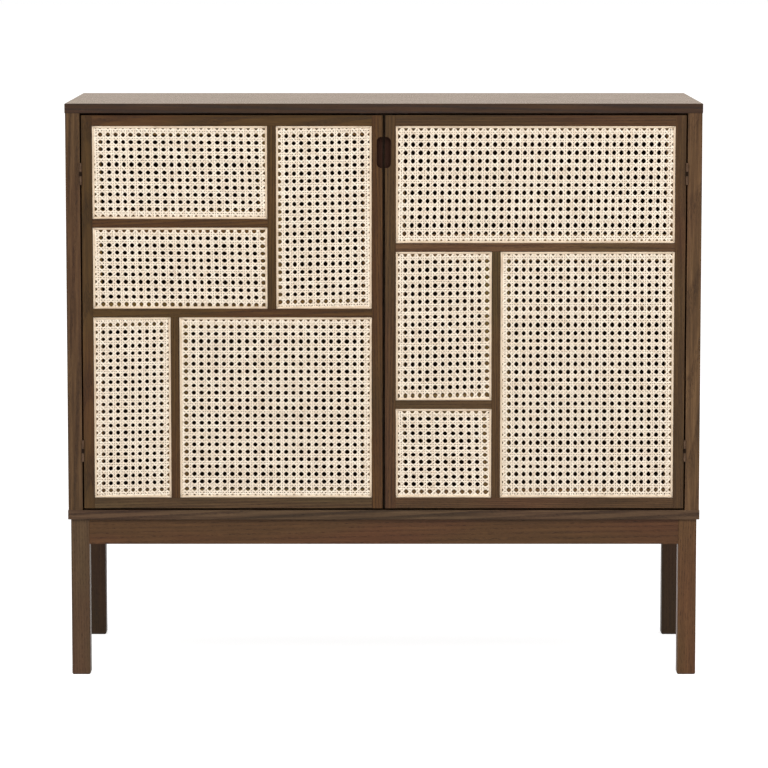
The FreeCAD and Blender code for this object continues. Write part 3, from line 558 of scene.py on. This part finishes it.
class Sheaf:
    """Strands gathered into one mesh, each with its own band of the map."""

    def __init__(self):
        self.points, self.facts, self.maps, self.quads, self.ends = [], [], [], [], []
        self.filled = 0

    def strand(self, points, along, across, shade):
        """Adds a strand: points has a row for each section along it and a column for each section point."""
        rows, columns = points.shape[:2]
        at = self.filled + np.arange(rows * columns).reshape(rows, columns)
        beside = np.roll(at, -1, axis=1)
        self.filled += rows * columns
        self.points.append(points.reshape(-1, 3))
        self.quads.append(np.stack([at[:-1], at[1:], beside[1:], beside[:-1]], axis=-1).reshape(-1, 4))
        self.ends += [at[0], at[-1, ::-1]]
        facts = np.empty((rows, columns, 3))
        facts[..., 0], facts[..., 1], facts[..., 2] = along[:, None], across[None, :], shade
        self.facts.append(facts.reshape(-1, 3))
        u_margin, v_margin = BAND_MARGINS
        u = u_margin + (1 - 2 * u_margin) * (along - along[0]) / (along[-1] - along[0])
        v = v_margin + (1 - 2 * v_margin) * np.arange(columns + 1) / columns
        low_u, low_v = np.meshgrid(u[:-1], v[:-1], indexing="ij")
        high_u, high_v = np.meshgrid(u[1:], v[1:], indexing="ij")
        corners = [(low_u, low_v), (high_u, low_v), (high_u, high_v), (low_u, high_v)]
        places = np.stack([np.stack(pair, axis=-1) for pair in corners], axis=2).reshape(-1, 4, 2)
        self.maps.append(places + [0.0, len(self.maps)])

    def cut_end_places(self):
        """A small polygon at either end of a strand's band for each of its cut ends."""
        size, ends = len(self.ends[0]), np.arange(len(self.ends))
        turns = 2 * np.pi * np.arange(size) / size
        ring = np.stack([np.cos(turns), np.sin(turns)], axis=-1) * CUT_END_RADII
        us = np.where(ends % 2, 1 - CUT_END_PLACE, CUT_END_PLACE)
        middles = np.stack([us, ends // 2 + 0.5], axis=-1)
        return (middles[:, None] + ring).reshape(-1, 2)

    def object(self, name):
        """One object from all the strands, with the facts that their material needs."""
        quads, ends = np.concatenate(self.quads), np.array(self.ends)
        mesh = bpy.data.meshes.new(name)
        mesh.vertices.add(self.filled)
        mesh.vertices.foreach_set("co", np.concatenate(self.points).ravel())
        mesh.loops.add(quads.size + ends.size)
        mesh.loops.foreach_set("vertex_index", np.concatenate([quads.ravel(), ends.ravel()]))
        mesh.polygons.add(len(quads) + len(ends))
        end_starts = quads.size + ends.shape[1] * np.arange(len(ends))
        mesh.polygons.foreach_set("loop_start", np.concatenate([4 * np.arange(len(quads)), end_starts]))
        mesh.update(calc_edges=True)
        mesh.polygons.foreach_set("use_smooth", np.arange(len(quads) + len(ends)) < len(quads))
        facts = mesh.attributes.new("strand", "FLOAT_VECTOR", "POINT")
        facts.data.foreach_set("vector", np.concatenate(self.facts).ravel())
        places = np.concatenate([np.concatenate(self.maps).reshape(-1, 2), self.cut_end_places()])
        places[:, 1] /= len(self.maps)
        mesh.uv_layers.new(name="OFBake").uv.foreach_set("vector", places.ravel())
        mesh.validate()
        return link(mesh)


def link(mesh):
    piece = bpy.data.objects.new(mesh.name, mesh)
    bpy.context.scene.collection.objects.link(piece)
    return piece


# --- The weave ---------------------------------------------------------------------------------------


class Panel:
    """A cane panel's place on its door, and the lattice of its weave.

    A point of the lattice is told by its column and its row. The holes have whole numbers, and the pairs of
    uprights and rows run at the halves.
    """

    def __init__(self, name):
        pitches, shifts, phases = WEAVES[name]
        low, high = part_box(name)
        self.name = name
        self.body = name.split("_")[0] + "_door"
        self.low = np.array([low.x, low.z])
        self.high = np.array([high.x, high.z])
        self.middle = (self.low + self.high) / 2
        self.lips = high.y
        self.front = self.lips - FRONT_OF_LIPS
        self.column = np.array([pitches[0], shifts[1]]) * MM
        self.row = np.array([shifts[0], pitches[1]]) * MM
        self.axes = np.stack([self.column, self.row])
        self.origin = self.middle - phases[0] * self.column + phases[1] * self.row
        self.chance = np.random.default_rng(list(name.encode()))
        self.lines = np.arange(-REACH, REACH) + 0.5
        self.sways = [self.uneven() * self.looseness(axis) for axis in range(2)]

    def uneven(self):
        """How far the lines of one kind lie from their even places, in pitches, if nothing holds them."""
        step, start = self.chance.uniform(*WAVES), self.chance.uniform(*WAVE_STARTS)
        slow = SLOW_SWAY * np.sin(self.lines * step + start)
        return self.chance.normal(0, SWAY, len(self.lines)) + slow

    def looseness(self, axis):
        """How much of its unevenness each line keeps: none near the reeds, which hold the weave straight."""
        half = (self.high - self.middle)[axis] / self.axes[axis, axis]
        inside = half - np.abs(self.lines - self.lattice(self.middle)[axis])
        return np.clip((inside - STRAIGHT) / LOOSENING, 0, 1)

    def place(self, points):
        """Where points of the lattice lie, in x and z: uneven, and drawn outwards near the reeds."""
        swayed = [
            points[..., axis] + np.interp(points[..., axis], self.lines, self.sways[axis])
            for axis in range(2)
        ]
        places = self.origin + swayed[0][..., None] * self.column + swayed[1][..., None] * self.row
        sides = places - self.low, self.high - places
        near_low, near_high = (np.clip(1 - inside / DIVE, 0, 1) for inside in sides)
        return places + PULL * (near_high - near_low)

    def lattice(self, place):
        """The point of the lattice at a place, if the weave were even."""
        return np.linalg.solve(self.axes.T, place - self.origin)

    def crossed(self, start, step):
        """After how many steps from start a straight line comes onto the even sheet, and leaves it again."""
        at, way = self.origin + start @ self.axes, step @ self.axes
        with np.errstate(divide="ignore"):
            ends = np.stack([self.low - UNDER_REED - at, self.high + UNDER_REED - at]) / way
        return ends.min(0).max(), ends.max(0).min()

    def flatness(self, places):
        """How much of its rise a strand keeps at each place: less near the reeds, which press it down."""
        inside = np.minimum(places - self.low, self.high - places).min(-1)
        return FLATTEST + (1 - FLATTEST) * np.clip(inside / DIVE, 0, 1)


def lay_strand(sheaf, panel, start, step, width, bends, rise):
    """A flat strand that takes steps over the lattice from start.

    bends are the parts of a step at which it bends, and rise tells its height at any number of steps.
    """
    start, step = np.array(start), np.array(step)
    way = step @ panel.axes
    length = math.hypot(*way)
    sideways = np.array([-way[1], way[0]]) / length
    sideways_lattice = panel.lattice(panel.origin + sideways)
    width *= panel.chance.uniform(*WIDTH_RANGE)
    across = np.array([a for a, _ in STRAND_SECTION]) * width
    spans = np.array([panel.crossed(start + a * sideways_lattice, step) for a in across])
    first, last = spans[:, 0], spans[:, 1]
    if last.min() - first.max() < SHORTEST:
        return
    inner = (np.arange(-REACH, REACH)[:, None] + np.array(bends)).ravel()
    inner = inner[(inner > first.max() + LAST_BEND) & (inner < last.min() - LAST_BEND)]
    steps = np.vstack([first, np.repeat(inner[:, None], len(across), axis=1), last])
    middle = steps.mean(1)
    centre = panel.place(start + steps[..., None] * step)
    flatness = panel.flatness(centre.mean(1))
    spread = 1 + SPREAD * (1 - flatness)
    places = centre + (spread[:, None] * across)[..., None] * sideways
    up = np.array([b for _, b in STRAND_SECTION]) * STRAND_THICKNESS
    height = (rise(middle) * flatness)[:, None] + up
    points = np.stack([places[..., 0], panel.front - height, places[..., 1]], axis=-1)
    sheaf.strand(points, middle * length, across, panel.chance.uniform())


def straight_strands(panel, upright):
    """All the uprights or all the rows of a panel, in pairs. A strand goes over one of a pair it crosses."""
    sheaf = Sheaf()
    pitches = np.hypot(*panel.axes.T)
    pitch_over, pitch_along = pitches if upright else pitches[::-1]
    offset = (PAIR_GAP + STRAND_WIDTH) / 2
    crossing = offset / pitch_along
    bends = [0.5 + share * crossing for share in (-2, -1, 0, 1, 2)]
    for line in panel.lines:
        for side in (-1, 1):

            def rise(t, way=side if upright else -side):
                from_node = t % 1.0 - 0.5
                bend = np.sin(np.pi * from_node / (2 * crossing)) * (np.abs(from_node) < 2 * crossing)
                return -way * NODE_RISE * bend

            over = line + side * offset / pitch_over
            start, step = ((over, 0.0), (0.0, 1.0)) if upright else ((0.0, over), (1.0, 0.0))
            lay_strand(sheaf, panel, start, step, STRAND_WIDTH, bends, rise)
    return sheaf.object(panel.name + ("_uprights" if upright else "_rows"))


def diagonal_strands(panel):
    """The diagonals: one way over the uprights and under the rows, and the other way the reverse."""
    sheaf = Sheaf()
    # Midway between the pairs that they cross they change sides
    bends = [turn + half for turn in (0.25, 0.75) for half in (-FLIP / 2, FLIP / 2)]
    steepness = math.sin(math.pi * FLIP)
    for slope in (1.0, -1.0):

        def rise(t, way=slope):
            return way * DIAGONAL_RISE * np.clip(np.cos(2 * np.pi * t) / steepness, -1, 1)

        for row in range(-2 * REACH, 2 * REACH):
            lay_strand(sheaf, panel, (0.5, row), (1.0, slope), DIAGONAL_WIDTH, bends, rise)
    return sheaf.object(panel.name + "_diagonals")


def weave_panels(panels):
    cane = strand_material("natural_cane")
    for panel in panels:
        for piece in (straight_strands(panel, True), straight_strands(panel, False), diagonal_strands(panel)):
            dress(piece, cane)
            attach(piece, panel.body)
            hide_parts(panel.name)


# --- The reeds ---------------------------------------------------------------------------------------


def lay_reeds(sheaf, panel):
    """Four split reeds round a panel, mitred at the corners."""
    (left, bottom), (right, top) = panel.low - GROOVE_WIDTH / 2, panel.high + GROOVE_WIDTH / 2
    corners = np.array([(left, bottom), (right, bottom), (right, top), (left, top)])
    section = np.array(REED_SECTION + REED_BACK)
    across = section[:, 0] * REED_WIDTH
    mitre = MITRE_GAP / 2 + across
    for start, end in zip(corners, np.roll(corners, -1, axis=0)):
        length = math.hypot(*(end - start))
        way = (end - start) / length
        sideways = np.array([-way[1], way[0]])
        steps = np.linspace(0, 1, max(2, round(length / REED_STEP)))
        along = mitre + steps[:, None] * (length - 2 * mitre)
        width = 1 + panel.chance.normal(0, WIDTH_VARIES, len(steps))
        crown = 1 + panel.chance.normal(0, CROWN_VARIES, len(steps))
        places = start + along[..., None] * way + (across * width[:, None])[..., None] * sideways
        height = REED_SEAT + section[:, 1] * REED_CROWN * crown[:, None]
        points = np.stack([places[..., 0], panel.lips - height, places[..., 1]], axis=-1)
        sheaf.strand(points, steps * length, across, panel.chance.uniform())


def fit_reeds(panels):
    reed = strand_material("split_reed")
    for side in ("left", "right"):
        sheaf = Sheaf()
        for panel in panels:
            if panel.body == side + "_door":
                lay_reeds(sheaf, panel)
        piece = sheaf.object(side + "_reeds")
        dress(piece, reed)
        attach(piece, side + "_door")
        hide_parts(side + "_cane_splines")


# --- The screws --------------------------------------------------------------------------------------

# The pin of the right door's hinges in x and y, and where their screws are from it
PIN = named(frame["record"]["behaviour"]["joints"], "right_door_hinge")["pos_m"][:2]
HINGE_LEVELS = (431.8 * MM, 957.8 * MM)
LEAF_FACE = 1.5 * MM
SCREW_BACK = 8.6 * MM
SCREW_STEP = 12.0 * MM
# Radius and height in mm, from a screw's tip to the face of its head
SCREW_PROFILE = [(0.5, -13.0), (1.2, -11.5), (1.2, -1.2), (2.4, -0.08), (2.3, 0.0)]
SCREW_SIDES = 24
CROSS_HALF = 0.34  # half the width of the recess's arms in mm
CROSS_REACH = 1.45
CROSS_DEPTH = 0.9
CROSS_TAPER = 0.55
SHARP_EDGE = math.radians(40)
STRIKE_SCREW_PROUD = 0.15 * MM
UP = np.array((0.0, 0.0, 1.0))


def cross_recess():
    """The outline of a screw's recess in mm, as complex numbers: one arm's outline, turned by quarters."""
    middle = (CROSS_HALF + CROSS_REACH) / 2
    corners = [(CROSS_HALF, CROSS_HALF), (CROSS_HALF, middle), (CROSS_HALF, CROSS_REACH)]
    corners += [(0.0, CROSS_REACH), (-CROSS_HALF, CROSS_REACH), (-CROSS_HALF, middle)]
    arm = np.array([complex(*corner) for corner in corners])
    return np.concatenate([arm * 1j**quarter for quarter in range(4)])


def drive_screws(name, body, heads, material, replaced=()):
    """Countersunk screws with cross recesses.

    heads has the middle of each head's face and the way that it looks.
    """
    cross = cross_recess()
    circle = np.exp(1j * (np.pi / 4 + 2 * np.pi * np.arange(SCREW_SIDES) / SCREW_SIDES))
    rings = np.array([radius * circle for radius, _ in SCREW_PROFILE] + [cross, CROSS_TAPER * cross])
    heights = np.array([height for _, height in SCREW_PROFILE] + [0.0, -CROSS_DEPTH])
    chance = np.random.default_rng(list(name.encode()))
    sheaf = Sheaf()
    for place, way in heads:
        turned = np.conj(rings * np.exp(1j * chance.uniform(0, 2 * np.pi)))
        offsets = turned.real[..., None] * np.cross(UP, way) + turned.imag[..., None] * UP
        points = place + MM * (offsets + heights[:, None, None] * np.array(way))
        sheaf.strand(points, np.arange(len(rings), dtype=float), np.arange(SCREW_SIDES), chance.uniform())
    piece = sheaf.object(name)
    piece.data.set_sharp_from_angle(angle=SHARP_EDGE)
    dress(piece, material)
    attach(piece, body)
    if replaced:
        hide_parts(replaced)


def hinge_screws(side, outward):
    """The heads of a leaf's screws: side is 1 on the right, and outward is 1 for the case's leaf."""
    x, y = side * (PIN[0] + outward * LEAF_FACE), PIN[1] + SCREW_BACK
    levels = [level + step for level in HINGE_LEVELS for step in (-SCREW_STEP, SCREW_STEP)]
    return [(np.array((x, y, z)), (-side * outward, 0.0, 0.0)) for z in levels]


def fit_screws(bronze, steel):
    case_heads = hinge_screws(-1, 1) + hinge_screws(1, 1)
    drive_screws("case_leaf_screws", "case", case_heads, bronze, "case_hinge_screws")
    for name, side in (("left", -1), ("right", 1)):
        node = name + "_hinge_screws"
        drive_screws(name + "_leaf_screws", name + "_door", hinge_screws(side, -1), bronze, node)
        low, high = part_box(name + "_strike_plate")
        middle = np.array(((low.x + high.x) / 2, high.y + STRIKE_SCREW_PROUD, (low.z + high.z) / 2))
        heads = [(middle, (0.0, 1.0, 0.0))]
        drive_screws(name + "_strike_screw", name + "_door", heads, steel)


# --- Surroundings ------------------------------------------------------------------------------------


def camera():
    data = bpy.data.cameras.new("camera")
    data.lens, data.sensor_width = CAMERA_LENS, CAMERA_SENSOR
    data.shift_x, data.shift_y = CAMERA_SHIFT
    data.clip_end = CAMERA_SIGHT
    eye = bpy.data.objects.new("camera", data)
    eye.location = CAMERA_PLACE
    eye.rotation_euler = (math.pi / 2 - CAMERA_PITCH, 0.0, 0.0)
    bpy.context.scene.collection.objects.link(eye)
    bpy.context.scene.camera = eye


# Each soft box's place, the point that it faces, its size in metres and its power in watts
LAMPS = {
    "key": ((-2.4, -4.2, 4.6), (0.0, 0.0, 0.6), 2.6, 150.0),
    "fill": ((3.0, -4.2, 4.2), (0.0, 0.0, 0.6), 2.6, 140.0),
    "overhead": ((0.0, 0.3, 4.2), (0.0, 0.0, 1.0), 3.0, 20.0),
}


def light():
    for name, (place, target, size, power) in LAMPS.items():
        data = bpy.data.lights.new(name, "AREA")
        data.shape, data.size, data.energy = "SQUARE", size, power
        box = bpy.data.objects.new(name, data)
        box.location = place
        box.rotation_euler = (Vector(target) - Vector(place)).to_track_quat("-Z", "Y").to_euler()
        bpy.context.scene.collection.objects.link(box)


WORLD_LIGHT = 0.60  # what the surroundings give the object, where white is 1
WHITE = (1.0, 1.0, 1.0, 1.0)
WARM_WALL = (255, 241, 227)
DIM_SIDE = 0.12  # how bright the studio in front of the doors is in reflections
DIM_EDGES = (-0.5, 0.3)  # between which ways, told by their y, it turns into the bright rest


def surroundings():
    """White all round, but with a dim side behind the camera, so that the doors mirror little light."""
    world = bpy.data.worlds.new("studio")
    n = Nodes(world)
    n.tree.nodes.clear()
    path = n.add("LightPath").outputs
    way = n.part(n.add("TexCoord").outputs["Generated"], "Y")
    mirrored = n.between(way, *DIM_EDGES, DIM_SIDE, 1.0, "LINEAR")
    lit = n.add("Background", {"Color": WHITE, "Strength": WORLD_LIGHT}).outputs[0]
    glossy = n.add("Background", {"Color": linear(WARM_WALL), "Strength": mirrored}).outputs[0]
    white = n.add("Background", {"Color": WHITE, "Strength": 1.0}).outputs[0]
    shader = n.mixed(path["Is Glossy Ray"], lit, glossy)
    shader = n.mixed(path["Is Transmission Ray"], shader, white)
    shader = n.mixed(path["Is Camera Ray"], shader, white)
    n.add("OutputWorld", {"Surface": shader})
    bpy.context.scene.world = world


FLOOR_REACH = 60.0
FLOOR_GREY = (200, 200, 200)
FLOOR_GLOW = 0.79  # brings the lit floor up to white for the camera, and leaves its shadow


def floor():
    mesh = bpy.data.meshes.new("floor")
    corners = [(x * FLOOR_REACH, y * FLOOR_REACH, 0.0) for x, y in ((-1, -1), (1, -1), (1, 1), (-1, 1))]
    mesh.from_pydata(corners, [], [(0, 1, 2, 3)])
    n = new_finish("white_floor")
    dull = {"Base Color": linear(FLOOR_GREY), "Roughness": 0.9, "Specular IOR Level": 0.1}
    shader = n.feed(n.tree.nodes["Principled BSDF"], dull).outputs[0]
    glow = n.add("Emission", {"Strength": FLOOR_GLOW}).outputs[0]
    both = n.add("AddShader", {0: shader, 1: glow}).outputs[0]
    path = n.add("LightPath").outputs
    seen = n.math("MAXIMUM", path["Is Camera Ray"], path["Is Glossy Ray"])
    n.feed(n.tree.nodes["Material Output"], {"Surface": n.mixed(seen, shader, both)})
    mesh.materials.append(n.owner)
    link(mesh)


# --- The scene ---------------------------------------------------------------------------------------

bpy.context.scene.view_settings.view_transform = "Standard"
camera()
surroundings()
floor()
light()
dress_wood()
bronze = metal("bronze")
steel = metal("zinc_plated_steel")
dress_hardware(bronze, steel)
fit_screws(bronze, steel)
panels = [Panel(name) for name in WEAVES]
weave_panels(panels)
fit_reeds(panels)
